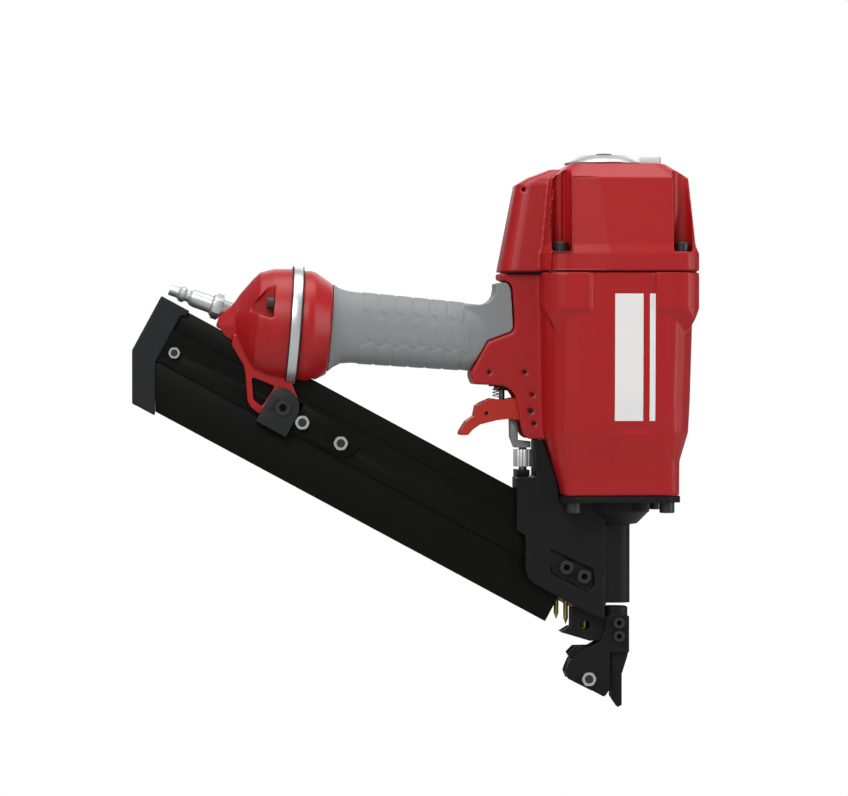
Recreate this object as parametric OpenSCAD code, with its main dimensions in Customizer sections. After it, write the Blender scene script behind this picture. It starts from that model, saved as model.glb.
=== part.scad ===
// Pneumatic strip nailer with a sprung placement nose, a slanted nail magazine and a grip handle.
// Frame: +X is the front, +Z is up along the drive axis, and the two sides mirror across Y = 0.
// The origin is where the nail leaves the nose: on the drive axis, level with the tip of the probe blade.

/* [Housing] */
// Height of the seam between the top cap and the housing
seam_z = 326; // [324:1:328]
// Height of the housing's lower face
base_z = 160; // [159:1:161]
// Height of the top cap's rim
rim_z = 407; // [405:1:409]
// Half the width of the flat neck that carries the handle and the trigger
neck_half = 20; // [19.5:0.5:20.5]
// Half the spacing of the cap screws, front to back
screw_x = 45; // [44:0.5:46]
// Half the spacing of the cap screws, side to side
screw_y = 43; // [42:0.5:44]

/* [Handle] */
// Slope of the handle, falling towards the front
handle_tilt = 4.5; // [4:0.5:5]
// Outer radius of the ring between the two halves of the end bell
ring_r = 45; // [44:0.5:46]
// Slope of the air plug, rising towards the back
plug_tilt = 19.6; // [19:0.2:20]

/* [Drive] */
// Inner radius of the cylinder sleeve
bore_r = 27; // [26:0.5:28]
// Outer radius of the cylinder sleeve
sleeve_r = 30; // [29.5:0.5:31]
// Radius of the driver rod
driver_r = 3.4; // [3:0.1:3.5]
// Height of the driver's tip at rest
driver_tip_z = 111; // [110:1:114]

/* [Magazine] */
// Slope of the magazine, falling towards the nose
mag_tilt = 28.4; // [28:0.1:29]
// Height of the magazine's section
mag_h = 76.5; // [75.5:0.5:77]
// Half the width of the magazine's widest band
mag_half = 13; // [12.8:0.1:13.2]
// Number of nails in the strip
nail_count = 29; // [20:1:29]
// Distance between nails, measured level
nail_pitch = 7.2; // [7:0.1:7.4]
// Length of a nail
nail_len = 63.5; // [60:0.5:64]

/* [Trigger] */
// Half the width of the trigger
trigger_half = 13.6; // [13:0.2:14]

/* [Hidden] */
$fn = 48;
gap = 0.15;

handle_at = [-241, 0, 286];
mag_at = [-53.5, 0, 65.4];
trigger_pin = [-65.2, 223];
lever_pin = [-97.7, 221.2];
stem_x = -85;
adjuster_x = -69.2;
adjuster_z = 187.5;
deflector_x = -8;
jaw_pin = [-20.8, 22.1];
bracket_at = [-249, 47.5];
strap_nuts = [-231, -198.5];
nut_w = 44.6;
end_nut = [-339, 45];
arm_screw_at = [[-14.5, 86], [-69.3, 146]];

// ---------- helpers ----------

// Moves children into the handle's own frame: x along the handle to the front, z across it.
module at_handle() {
    translate(handle_at) rotate([0, handle_tilt, 0]) children();
}

// Moves children into the magazine's own frame: x along it to the nose, z across it.
module at_magazine() {
    translate(mag_at) rotate([0, mag_tilt, 0]) children();
}

// A plate between y0 and y1 whose side outline is pts, in x and z.
module side_plate(pts, y0, y1) {
    translate([0, y1, 0]) rotate([90, 0, 0]) linear_extrude(y1 - y0) polygon(pts);
}

// The same plate on both sides of the middle plane.
module both_plates(pts, y0, y1) {
    side_plate(pts, y0, y1);
    side_plate(pts, -y1, -y0);
}

// A round bar across the tool, centred on a point of the side view.
module cross_bar(at, r, y0, y1) {
    translate([at[0], y1, at[1]]) rotate([90, 0, 0]) cylinder(r = r, h = y1 - y0);
}

module tube(r, hole, h) {
    difference() {
        cylinder(r = r, h = h);
        translate([0, 0, -1]) cylinder(r = hole, h = h + 2);
    }
}

// A rounded rectangle as a ring of points at height z, from -back to +front and -half to +half.
function plan_ring(z, back, front, half, r, steps = 4) = [
    for (c = [[front - r, half - r, 0], [-back + r, half - r, 90],
              [-back + r, -half + r, 180], [front - r, -half + r, 270]])
        for (i = [0 : steps])
            let (a = c[2] + 90 * i / steps)
                [c[0] + r * cos(a), c[1] + r * sin(a), z]
];

// An oval ring of points across the handle at u, squarer than an ellipse.
function oval_ring(u, half_w, half_h, mid, n = 24) = [
    for (i = [0 : n - 1])
        let (a = 360 * i / n, c = cos(a), s = sin(a), e = 0.8)
            [u, half_w * sign(c) * pow(abs(c), e), mid + half_h * sign(s) * pow(abs(s), e)]
];

// Closes a stack of rings, each with the same number of points, into one solid.
module loft(rings) {
    n = len(rings[0]);
    m = len(rings);
    points = [for (r = rings) for (p = r) p];
    sides = [
        for (j = [0 : m - 2]) for (i = [0 : n - 1])
            let (a = j * n + i, b = j * n + (i + 1) % n)
                each [[a, a + n, b], [b, a + n, b + n]]
    ];
    caps = [[for (i = [0 : n - 1]) i], [for (i = [n - 1 : -1 : 0]) (m - 1) * n + i]];
    polyhedron(points = points, faces = concat(sides, caps), convexity = 6);
}

// A socket head cap screw, head up, with the underside of its head at the origin.
module socket_screw(shank_r, head_r, head_h, length, key) {
    difference() {
        union() {
            cylinder(r = head_r, h = head_h);
            translate([0, 0, -length]) cylinder(r = shank_r, h = length + 0.01);
        }
        translate([0, 0, head_h * 0.45]) cylinder(d = key / cos(30), h = head_h, $fn = 6);
    }
}

// A hex nut lying in the xy plane.
module hex_nut(flats, hole, h) {
    difference() {
        cylinder(d = flats / cos(30), h = h, $fn = 6);
        translate([0, 0, -1]) cylinder(r = hole, h = h + 2);
    }
}

// The four places of the cap screws.
module at_cap_screws() {
    for (x = [-screw_x, screw_x]) for (y = [-screw_y, screw_y]) translate([x, y, 0]) children();
}

// The four places of the base screws.
module at_base_screws() {
    for (x = [-34.5, 35.5]) for (y = [-33, 33]) translate([x, y, 0]) children();
}

// The magazine's whole outside, grown by g, for clearances.
module magazine_space(g) {
    at_magazine() translate([-352, -mag_half - g, -3]) cube([352 + g, 2 * (mag_half + g), mag_h + 3 + g]);
}

// ---------- top cap ----------

module cap_blank() {
    loft([
        plan_ring(seam_z + 1, 58.5, 58.5, 56.5, 16),
        plan_ring(seam_z + 14, 58, 58.5, 56, 16),
        plan_ring(seam_z + 20, 56, 56, 54, 15),
        plan_ring(396, 51, 51, 49, 14),
        plan_ring(rim_z, 37, 35, 35, 10)
    ]);
    loft([
        plan_ring(seam_z + 1, 88, -30, 27, 12),
        plan_ring(392, 75.5, -30, 21, 10),
        plan_ring(397, 67, -30, 18, 8),
        plan_ring(403.5, 50, -30, 12, 5)
    ]);
}

module top_cap() color("firebrick") {
    difference() {
        cap_blank();
        // screw flutes, open to the outside
        for (x = [-1, 1]) for (y = [-1, 1]) {
            translate([x * screw_x, y * screw_y, 341]) cylinder(r = 7.2, h = 90);
            translate([x * screw_x - 7.2, y > 0 ? screw_y : -screw_y - 30, 341]) cube([14.4, 30, 90]);
            translate([x * screw_x, y * screw_y, seam_z - 1]) cylinder(r = 3.3, h = 40);
        }
        // chamber of the head valve, and the exhaust passages up to the recess in the rim
        translate([0, 0, seam_z - 1]) cylinder(r = 35.5, h = 43);
        for (a = [60, 180, 300]) translate([deflector_x, 0, 360]) rotate([0, 0, a]) translate([14, 0, 0])
            cylinder(r = 6, h = 50);
        translate([0, 0, 373.5]) tube(33, 11, 16);
        translate([deflector_x, 0, 398]) cylinder(r = 26, h = 20);
        translate([deflector_x, 0, 389]) cylinder(r = 3, h = 20);
        // air passage at the back
        translate([-76, -12, seam_z - 1]) cube([44, 24, 30]);
        // lightening pockets between the chamber and the outer walls
        for (y = [-48, 40]) translate([-27, y, seam_z - 1]) cube([54, 8, 41]);
        translate([41, -27, seam_z - 1]) cube([9, 54, 41]);
        // vent hole in each back corner
        cross_bar([-70.5, 388], 1.6, -40, -14);
        cross_bar([-70.5, 388], 1.6, 14, 40);
    }
}

module exhaust_deflector() color("gainsboro") {
    translate([deflector_x, 0, 398.3]) rotate_extrude()
        polygon([[3.4, 0], [24, 0], [24, 9.4], [29.6, 9.4], [30, 10.4], [21.5, 15.7], [3.4, 15.7],
                 [3.4, 13.5], [19, 13.5], [22, 11], [22, 2], [3.4, 2]]);
}

module deflector_spout() color("whitesmoke") {
    translate([deflector_x, 0, 0]) intersection() {
        translate([0, 0, 407.7]) tube(43, 30.1, 5.6);
        translate([0, -17, 400]) cube([60, 34, 20]);
    }
}

module deflector_screw() color("dimgray") {
    translate([deflector_x, 0, 414.2]) difference() {
        union() {
            cylinder(r = 6, h = 1.6);
            translate([0, 0, -24]) cylinder(r = 2.9, h = 24.01);
        }
        translate([0, 0, 0.5]) cylinder(d = 4.6, h = 3, $fn = 6);
    }
}

module cap_screws() color("dimgray") {
    at_cap_screws() translate([0, 0, 341.1]) socket_screw(3, 5.6, 7, 36, 5);
}

module cap_gasket() color("black") {
    translate([0, 0, seam_z]) linear_extrude(1) difference() {
        union() {
            square([110, 104], center = true);
            translate([-84, -24]) square([40, 48]);
        }
        circle(r = 36.5);
        translate([-76, -12]) square([44, 24]);
        for (x = [-screw_x, screw_x]) for (y = [-screw_y, screw_y]) translate([x, y]) circle(r = 3.5);
    }
}

module head_valve() color("ivory") {
    translate([0, 0, 327.5]) rotate_extrude()
        polygon([[14, 0], [31.5, 0], [34.8, 4], [34.8, 18], [22, 18], [22, 26], [14, 26]]);
}

module head_valve_spring() color("silver") {
    for (i = [0 : 3]) translate([0, 0, 347.1 + i * 6.2]) rotate_extrude() translate([29, 0]) circle(r = 1.3, $fn = 24);
}

module exhaust_seal() color("black") {
    translate([0, 0, 362]) tube(21, 14.5, 5.5);
}

// ---------- housing and handle ----------

// Side outline of the flat neck: lip under the cap, grip edge, trigger guard and skirt.
neck_outline = [
    [-88, seam_z], [-88, 321.5], [-84, 319.7], [-80.5, 318.3], [-79, 315], [-78, 301.5], [-77.3, 285],
    [-79.2, 281.3], [-96.3, 275], [-98.2, 273], [-109.6, 252.3], [-109.3, 248], [-107.3, 242.8],
    [-90.5, 242.2], [-85.5, 241.4], [-82, 240], [-78.8, 237.4], [-76.6, 234], [-75, 226.5], [-73, 215],
    [-71.5, 207.7], [-70, 204.4], [-66.5, 202], [-50, 201.6], [-40, 230], [-40, seam_z]
];

module body_loft() {
    loft([
        plan_ring(base_z, 42, 44.6, 43, 9),
        plan_ring(173, 45.3, 44.6, 44, 10),
        plan_ring(186, 49.6, 44.8, 46, 12),
        plan_ring(207, 55.5, 51.6, 51, 20),
        plan_ring(231, 56.5, 53.2, 53, 24),
        plan_ring(290, 57, 54.8, 54, 24),
        plan_ring(seam_z, 57.5, 56.2, 54.5, 22)
    ]);
}

// Block in each upper corner that takes a cap screw, sloping in at its foot.
module corner_block(x, y) {
    hull() {
        translate([x * 41.5 - 17, y * 39.5 - 17, 300]) cube([34, 34, 26]);
        translate([x * 36 - 14, y * 34 - 14, 283]) cube([28, 28, 1]);
    }
}

// A tube with flat sides and round top and bottom, along +x.
module stadium_bar(half_w, half_h, u0, u1, mid) {
    for (s = [-1, 1]) translate([u0, 0, mid + s * (half_h - half_w)]) rotate([0, 90, 0])
        cylinder(r = half_w, h = u1 - u0);
    translate([u0, -half_w, mid - half_h + half_w]) cube([u1 - u0, 2 * half_w, 2 * (half_h - half_w)]);
}

module bell_front() {
    at_handle() rotate([0, 90, 0]) rotate_extrude()
        polygon([[0, 3.4], [42, 3.4], [42.6, 9.6], [41.6, 13.5], [33.6, 26.6], [0, 26.6]]);
}

module housing() color("firebrick") {
    difference() {
        union() {
            body_loft();
            intersection() {
                loft([plan_ring(280, 58.5, 58.5, 56.5, 16), plan_ring(seam_z, 58.5, 58.5, 56.5, 16)]);
                for (x = [-1, 1]) for (y = [-1, 1]) corner_block(x, y);
            }
            side_plate(neck_outline, -neck_half, neck_half);
            at_handle() stadium_bar(17, 22, 20, 163, 2.6);
            bell_front();
        }
        // reservoir round the cylinder: a bore with a wider chamber between its two lands
        translate([0, 0, 172]) cylinder(r = 38, h = 160);
        translate([0, 0, 208]) linear_extrude(106) offset(r = 20) square([54, 54], center = true);
        // step that seats the bumper
        translate([0, 0, base_z - 1]) cylinder(r = 31, h = 20);
        // hollow of the handle, open to the reservoir and to the bell
        at_handle() stadium_bar(13, 17, -1, 205, 2.6);
        translate([-76, -12, 300]) cube([50, 24, 30]);
        at_handle() translate([3, 0, 0]) rotate([0, 90, 0]) cylinder(r1 = 36, r2 = 20, h = 18);
        // slot between the trigger guard's two walls
        translate([-120, -14.4, 190]) cube([64, 28.8, 50]);
        // seat of the trigger valve, and the holes of the pins
        translate([stem_x, 0, 230]) cylinder(r = 10, h = 36);
        cross_bar(trigger_pin, 1.9, -30, 30);
        for (p = [[-96.3, 251.9], [-69.5, 252], [-64, 235.4], [-62.4, 213.8]]) cross_bar(p, 1.6, -30, 30);
        // screw holes
        at_cap_screws() translate([0, 0, 300]) cylinder(r = 3.2, h = 40);
        at_base_screws() translate([0, 0, base_z - 1]) cylinder(r = 3.2, h = 24);
        for (a = [66, -66]) at_handle() rotate([a, 0, 0]) translate([3, 0, 38]) rotate([0, 90, 0])
            cylinder(r = 2.7, h = 12);
        magazine_space(0.5);
    }
}

grip_rings = [
    [26.9, 24.5, 33, 1], [31, 22, 29.8, 1.6], [36.5, 21, 27.4, 2.6], [50, 20.6, 26.3, 2.8], [88, 20.2, 25.7, 2.7],
    [124, 19.8, 25, 2.6], [137, 19.6, 25.6, 2]
];

module handle_grip() color("slategray") {
    difference() {
        union() {
            at_handle() loft([for (r = grip_rings) oval_ring(r[0], r[1], r[2], r[3])]);
            // collar that climbs the neck
            side_plate([[-108, 259], [-108, 300], [-101, 302.2], [-96, 304], [-92, 308.4], [-90.6, 318.4],
                        [-84, 318.9], [-81.5, 317.2], [-80, 314], [-79, 301.5], [-78.3, 285.4], [-80, 282.2],
                        [-97.2, 275.8], [-99.1, 273.4]], -19.2, 19.2);
        }
        at_handle() stadium_bar(17.1, 22.1, 0, 170, 2.6);
        // front end, parallel to the edge of the neck
        translate([-110.6, -40, 252]) rotate([0, 28.9, 0]) translate([0, 0, -30]) cube([40, 80, 54.5]);
    }
}

module end_bell() color("firebrick") {
    difference() {
        union() {
            at_handle() rotate([0, 90, 0]) rotate_extrude()
                polygon([[0, -48], [12, -47], [21, -42], [33, -33], [38.5, -28], [41.8, -18], [43, -3.4], [0, -3.4]]);
            // boss of the air inlet, square to the plug
            at_handle() translate([-30, 0, -1]) rotate([0, -90 - plug_tilt + handle_tilt, 0]) rotate([0, 0, 0])
                cylinder(r1 = 24, r2 = 12.4, h = 27.5);
            // fork that straddles the magazine
            at_handle() both_plates([[-45, -10], [-45.5, -17.6], [-35.6, -31.6], [-34, -37], [-30.6, -58], [-28, -62],
                                     [-22, -66.5], [-12, -69], [-2, -69], [6, -62], [6, -52], [0, -40], [-3.4, -38],
                                     [-3.4, -10]], 13.9, 17.9);
        }
        at_handle() rotate([0, 90, 0]) rotate_extrude()
            polygon([[0, -38], [12, -36], [22, -28], [26, -17], [26, -12], [30.4, -10], [30.4, -3], [0, -3]]);
        // screw pockets
        at_handle() both_plates([[-17, 4.6], [-17, 33], [-36.5, 8.6]], 29.6, 60);
        for (a = [66, -66]) at_handle() rotate([a, 0, 0]) translate([-19, 0, 38]) rotate([0, 90, 0])
            cylinder(r = 2.8, h = 19);
        // room for the ring, and the flat seat of the plug
        at_handle() translate([-3.4, 0, 0]) rotate([0, 90, 0]) cylinder(r = ring_r + 0.3, h = 14);
        at_plug() translate([0, 0, 0.2]) cylinder(r = 16, h = 12);
        // inlet
        at_plug() translate([0, 0, -40]) cylinder(r = 7, h = 60);
        // window in the fork, and the hole of its bolt
        at_handle() both_plates([[-29, -40], [-11, -45.5], [-19.5, -61], [-26.4, -56.5]], 13, 19);
        at_magazine() cross_bar(bracket_at, 6.2, -30, 30);
        magazine_space(0.6);
    }
}

module bell_ring() color("lightgray") {
    difference() {
        at_handle() translate([-3.3, 0, 0]) rotate([0, 90, 0]) tube(ring_r, 36, 6.6);
        for (a = [66, -66]) at_handle() rotate([a, 0, 0]) translate([-8, 0, 38]) rotate([0, 90, 0])
            cylinder(r = 2.7, h = 16);
        magazine_space(0.6);
    }
}

module bell_screws() color("black") {
    for (a = [66, -66]) at_handle() rotate([a, 0, 0]) translate([-17.2, 0, 38]) rotate([0, -90, 0])
        socket_screw(2.5, 4.6, 5, 28, 4);
}

// Frame of the air plug: its z runs out of the tool along the plug.
module at_plug() {
    translate([-294.5, 0, 299.5]) rotate([0, -90 + plug_tilt, 0]) children();
}

module air_plug() color("silver") {
    at_plug() difference() {
        union() {
            rotate_extrude() polygon([[0, -9], [6.8, -9], [6.8, 0.4], [8.4, 0.4], [8.4, 7.5], [6.6, 9], [6.6, 21.5],
                                      [5.9, 24.5], [4.3, 26.4], [4.3, 28.4], [5.9, 30.2], [5.9, 32.5], [4, 35],
                                      [4, 41.6], [0, 41.6]]);
            translate([0, 0, 1.4]) cylinder(d = 17 / cos(30), h = 5.2, $fn = 6);
        }
        translate([0, 0, -10]) cylinder(r = 2.4, h = 60);
    }
}

// ---------- cylinder, piston and driver ----------

module cylinder_sleeve() color("silver") {
    translate([0, 0, 190.2]) difference() {
        union() {
            cylinder(r = sleeve_r, h = 137);
            translate([0, 0, 3]) cylinder(r = sleeve_r + 5, h = 4);
        }
        translate([0, 0, -1]) cylinder(r = bore_r, h = 140);
        for (a = [0 : 45 : 315]) rotate([0, 0, a]) translate([0, 0, 16]) rotate([0, 90, 0]) cylinder(r = 1.5, h = 40);
    }
}

module sleeve_rings() color("black") {
    translate([0, 0, 200]) tube(37.8, sleeve_r + 0.15, 3);
    translate([0, 0, 318]) tube(sleeve_r + 3, sleeve_r + 0.15, 3);
}

module piston() color("lightgray") {
    translate([0, 0, 302]) difference() {
        cylinder(r = bore_r - 0.3, h = 16);
        translate([0, 0, 6]) tube(40, bore_r - 2.6, 4);
        translate([0, 0, -1]) cylinder(r = driver_r + 1.1, h = 20);
    }
}

module piston_ring() color("black") {
    translate([0, 0, 308.3]) tube(bore_r - 0.1, bore_r - 2.4, 3.4);
}

module driver_rod() color("gainsboro") {
    translate([0, 0, driver_tip_z]) cylinder(r = driver_r, h = 302.5 - driver_tip_z);
    translate([0, 0, 302.2]) cylinder(r = driver_r + 1, h = 15);
}

module bumper() color("black") {
    translate([0, 0, 162]) rotate_extrude()
        polygon([[5, 0], [30.6, 0], [30.6, 10], [26.5, 12], [26.5, 27.5], [20, 31], [8, 31], [5, 26]]);
}

module base_plate() color("black") {
    difference() {
        translate([0, 0, base_z - 5]) linear_extrude(4.8) polygon([
            [-43, -34], [-34, -43], [36, -43], [45.2, -34], [45.2, 34], [36, 43], [-34, 43], [-43, 34]]);
        translate([0, 0, base_z - 6]) cylinder(r = 12, h = 8);
        at_base_screws() translate([0, 0, base_z - 6]) cylinder(r = 3.4, h = 8);
    }
}

module base_screws() color("black") {
    at_base_screws() translate([0, 0, base_z - 5.2]) rotate([180, 0, 0]) socket_screw(3, 5.6, 7.6, 22, 5);
}

// ---------- nose ----------

// Side outline of the cheeks that hold the magazine's front.
cheek_outline = [
    [-72.6, 201.2], [-75.4, 196], [-75.4, 133.6], [-69, 130.4], [-69, 104], [-67, 98], [-63, 94],
    [-59, 91.7], [-40, 81.5], [-22.6, 71.7], [-9.2, 66], [-9.2, 154.9], [-43.3, 154.9], [-43.5, 162], [-45.8, 173],
    [-50, 186], [-55.6, 201.2]
];

module nose_frame() color("black") {
    difference() {
        union() {
            side_plate(cheek_outline, -18.2, 18.2);
            translate([0, 0, 138]) cylinder(r1 = 17, r2 = 26, h = 9);
            translate([0, 0, 147]) cylinder(r = 26.5, h = 7.9);
            // front of the nose, round ahead of the drive axis
            translate([-9.2, -14, 79]) cube([9.7, 28, 64]);
            intersection() {
                translate([0, 0, 79]) cylinder(r = 14, h = 64);
                translate([0, -14, 79]) cube([10.7, 28, 64]);
            }
            // raised bands beside the magazine
            both_plates([[-68.6, 130], [-68.6, 104], [-66.6, 98.2], [-62.8, 94.3], [-40, 81.9], [-10, 66.8],
                         [-10, 97.3]], 18.1, 19.4);
            // lug above the contact spring
            translate([-19, 18.1, 132]) cube([9, 6, 3]);
        }
        magazine_space(0.5);
        // room round the nails
        side_plate([[-49, 60], [3, 20], [8, 20], [8, 112], [-12, 118], [-49, 138]], -9.6, 9.6);
        // corner left open for the depth wheel, and the guide hole of its rod
        translate([-90, -30, 173.4]) cube([28.8, 60, 40]);
        translate([adjuster_x, 0, 158]) cylinder(r = 3.4, h = 60);
        // nose bore, and the mouth that the contact block slides into
        translate([0, 0, 60]) cylinder(r = 8.1, h = 110);
        intersection() {
            translate([0, 0, 70]) cylinder(r = 12.6, h = 12.6);
            translate([-9.3, -12.6, 70]) cube([19, 25.2, 12.6]);
        }
        translate([-9.3, -12.6, 70]) cube([9.8, 25.2, 12.6]);
        // recess for the two screws
        both_plates([[-51.2, 120.2], [-17.6, 104.2], [-17.2, 92.6], [-21.5, 87.4], [-50, 101.8]], 16.4, 30);
        for (p = [[-38.1, 106.1], [-24.9, 99.2]]) cross_bar(p, 3, -30, 30);
    }
}

module nose_barrel() color("dimgray") {
    difference() {
        translate([0, 0, 83]) cylinder(r = 8, h = 71.8);
        translate([0, 0, 40]) cylinder(r = 4.1, h = 130);
        translate([-20, -4.1, 40]) cube([20, 8.2, 72]);
        translate([-20, -9.4, 40]) cube([16.4, 18.8, 72]);
    }
}

module cheek_screws() color("black") {
    for (p = [[-38.1, 106.1], [-24.9, 99.2]]) for (s = [0, 180])
        translate([p[0], s == 0 ? -16.5 : 16.5, p[1]]) rotate([s == 0 ? 90 : -90, 0, 0]) socket_screw(2.9, 5.2, 5, 2.8, 4.4);
}

// ---------- trigger and its valve ----------

trigger_outline = [
    [-104.9, 226.9], [-101, 229.4], [-93.9, 232.4], [-84.8, 231.2], [-77.8, 232.8], [-70, 232],
    [-62.6, 228.4], [-59.8, 223], [-62.6, 217.6], [-68, 215.6], [-76.3, 216.4], [-80.2, 217.1],
    [-89.9, 215.9], [-102.4, 212.8], [-108, 208.8], [-111.4, 204.9], [-117.5, 204.8], [-117, 207.8],
    [-112.5, 214.9], [-108.4, 217.9], [-106.5, 219]
];

module trigger() color("orangered") {
    difference() {
        side_plate(trigger_outline, -trigger_half, trigger_half);
        // channel for the lever, open at the top and at the front
        side_plate([[-103, 240], [-103, 217.8], [-90, 219.6], [-81, 219.4], [-80.4, 210], [-50, 210], [-50, 240]], -8, 8);
        cross_bar(trigger_pin, 1.98, -20, 20);
        cross_bar(lever_pin, 1.5, -20, 20);
    }
}

module trigger_pivot_pin() color("black") {
    cross_bar(trigger_pin, 1.88, -19.6, 19.6);
}

module trigger_lever() color("silver") {
    difference() {
        side_plate([[-100, 219.6], [-99.9, 223.6], [-96, 224], [-76.2, 223.6], [-75.6, 221.4], [-95, 220.4]], -7.6, 7.6);
        cross_bar(lever_pin, 1.58, -20, 20);
    }
}

module lever_pin_rod() color("dimgray") {
    cross_bar(lever_pin, 1.5, -13.4, 13.4);
}

module valve_stem() color("dimgray") {
    translate([stem_x, 0, 229.6]) {
        cylinder(r = 2.2, h = 25.6);
        translate([0, 0, 16.2]) cylinder(r = 3.6, h = 3);
    }
}

module trigger_valve() color("black") {
    translate([stem_x, 0, 238.2]) difference() {
        union() {
            translate([0, 0, 3]) cylinder(r = 9.9, h = 20);
            cylinder(r = 6, h = 4);
        }
        translate([0, 0, -1]) cylinder(r = 2.5, h = 9);
        translate([0, 0, 7]) cylinder(r = 4.4, h = 20);
    }
}

module trigger_spring() color("silver") {
    for (i = [0 : 3]) translate([-90.4, -10.8, 233.2 + i * 2.3]) rotate_extrude() translate([2.2, 0])
        circle(r = 0.45, $fn = 16);
}

module valve_pins() color("black") {
    for (p = [[-96.3, 251.9], [-69.5, 252], [-64, 235.4], [-62.4, 213.8]]) for (y = [-19.4, 15]) cross_bar(p, 1.5, y, y + 4.4);
}

// ---------- contact trip ----------

module contact_link() color("dimgray") {
    difference() {
        side_plate([[-79.4, 217], [-79, 203], [-76, 195.4], [-63.8, 195.4], [-63.8, 200], [-73.4, 201],
                    [-73.4, 217]], -6.6, 6.6);
        translate([adjuster_x, 0, 190]) cylinder(r = 3.3, h = 30);
    }
}

module depth_wheel() color("whitesmoke") {
    translate([adjuster_x, 0, adjuster_z - 6.4]) difference() {
        cylinder(r = 7.1, h = 12.8);
        translate([0, 0, -1]) cylinder(r = 3.06, h = 16);
        for (i = [0 : 11]) rotate([0, 0, i * 30]) translate([8.1, 0, -1]) cylinder(r = 1.5, h = 16, $fn = 24);
    }
}

module contact_rod() color("silver") {
    translate([adjuster_x, 0, 166]) cylinder(r = 3, h = 33);
}

// Strip on the far side that joins the nose to the rod.
module contact_arm() color("dimgray") {
    difference() {
        union() {
            side_plate([[-74.2, 178.6], [-74.2, 134], [-18.6, 103.2], [-18.6, 62], [-9, 50], [9, 50], [9, 66], [-9, 72],
                        [-9, 112], [-64.4, 143], [-64.4, 178.6]], 19.8, 22);
            side_plate([[-74.2, 174], [-64.4, 174], [-64.4, 178.6], [-74.2, 178.6]], -6, 22);
        }
        translate([adjuster_x, 0, 150]) cylinder(r = 3, h = 40);
        for (z = [54, 64]) cross_bar([2, z], 2.6, 0, 40);
        // slots that ride on the two shoulder screws
        for (p = arm_screw_at) {
            cross_bar(p, 2.7, 0, 40);
            cross_bar(p + [0, -6.6], 2.7, 0, 40);
            translate([p[0] - 2.7, 10, p[1] - 6.6]) cube([5.4, 30, 6.6]);
        }
    }
}

module arm_screws() color("black") {
    for (p = arm_screw_at) {
        cross_bar(p, 4.4, 22.4, 25.4);
        cross_bar(p, 2.4, p[0] < -60 ? 18.2 : 19.4, 22.5);
    }
}

module contact_spring() color("silver") {
    for (i = [0 : 6]) translate([-14.5, 21.4, 117.2 + i * 2.36]) rotate_extrude() translate([2, 0])
        circle(r = 0.45, $fn = 16);
}

// Block below the barrel, split by the nail channel, that carries the blade, the jaw and the arm.
module contact_block() color("black") {
    difference() {
        union() {
            translate([-8, -12, 42]) cube([18, 24, 27]);
            // top, rounded to enter the nose
            intersection() {
                translate([0, 0, 68]) cylinder(r = 12, h = 7.8);
                translate([-8, -12, 68]) cube([17.2, 24, 7.8]);
            }
            translate([-8, 11.9, 50]) cube([17, 7.9, 22]);
            both_plates([[-8, 42], [-8, 60], [-12, 50], [-30, 40.5], [-34.5, 36], [-37, 30], [-38, 27], [-36, 22],
                         [-20, 13.8], [-8, 9], [-4.4, 14], [-4.4, 42]], 9.2, 12);
        }
        cylinder(r = 4.3, h = 90);
        translate([-30, -4.3, 30]) cube([30, 8.6, 60]);
        translate([-30, -9, 40]) cube([25.6, 18, 60]);
        // slot of the blade's tang
        translate([4.2, -5.8, 0]) cube([1.7, 11.6, 71]);
        for (z = [54, 64]) {
            cross_bar([2, z], 2.5, -30, -6);
            cross_bar([2, z], 2.5, 6, 40);
        }
        cross_bar(jaw_pin, 3.1, -30, 30);
    }
}

module probe_blade() color("dimgray") {
    difference() {
        union() {
            side_plate([[2.1, 0], [-0.8, 4.2], [-3.4, 8.2], [-2.6, 20], [-2.6, 41.8], [10.2, 41.8], [9.2, 37.5],
                        [5.2, 25], [5.2, 1.6]], -5.6, 5.6);
            translate([4.35, -5.6, 41]) cube([1.4, 11.2, 29]);
        }
        translate([0, 0, -1]) cylinder(r = 3.9, h = 50);
        translate([0, 0, 41]) cylinder(r = 4.35, h = 50);
        translate([-10, -3.9, -1]) cube([10, 7.8, 50]);
    }
}

module probe_screws() color("black") {
    for (z = [54, 64]) {
        translate([2, -12, z]) rotate([90, 0, 0]) socket_screw(2.5, 4.3, 4, 5.6, 3.6);
        translate([2, 22, z]) rotate([-90, 0, 0]) socket_screw(2.5, 4.3, 4, 15, 3.6);
    }
}

module rear_jaw() color("black") {
    difference() {
        side_plate([[-8.6, 43.6], [-12, 46.3], [-31, 46], [-36, 41], [-33.6, 37], [-36, 29], [-37, 25], [-35, 21.6],
                    [-22, 15.2], [-9, 8.2], [-8, 8.6]], -8.8, 8.8);
        cross_bar(jaw_pin, 3.08, -30, 30);
        side_plate([[-40, 50], [-40, 36], [-16, 37.5], [-5, 37.5], [-5, 50]], -6.4, 6.4);
    }
}

module jaw_bolt() color("dimgray") {
    difference() {
        union() {
            cross_bar(jaw_pin, 3, -18.6, 12.1);
            cross_bar(jaw_pin, 5, 12, 16.2);
        }
        translate([jaw_pin[0], 17, jaw_pin[1]]) rotate([90, 0, 0]) cylinder(d = 5.6, h = 3.6, $fn = 6);
    }
}

module jaw_nut() color("silver") {
    translate([jaw_pin[0], -12, jaw_pin[1]]) rotate([90, 0, 0]) hex_nut(10, 3, 5);
}

// Guide on the contact block that steadies the nail points.
module nail_tip_guide() color("black") {
    difference() {
        side_plate([[-41.5, 56.8], [-34.8, 61], [-33.4, 60.4], [-33.4, 75.6], [-4.6, 75.6], [-4.6, 50.2],
                    [-19.5, 50.2], [-32, 54]], -9, 9);
        translate([-60, -4.4, 40]) cube([60, 8.8, 40]);
        cross_bar([-22.5, 62], 3.4, -20, 0);
    }
}

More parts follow.
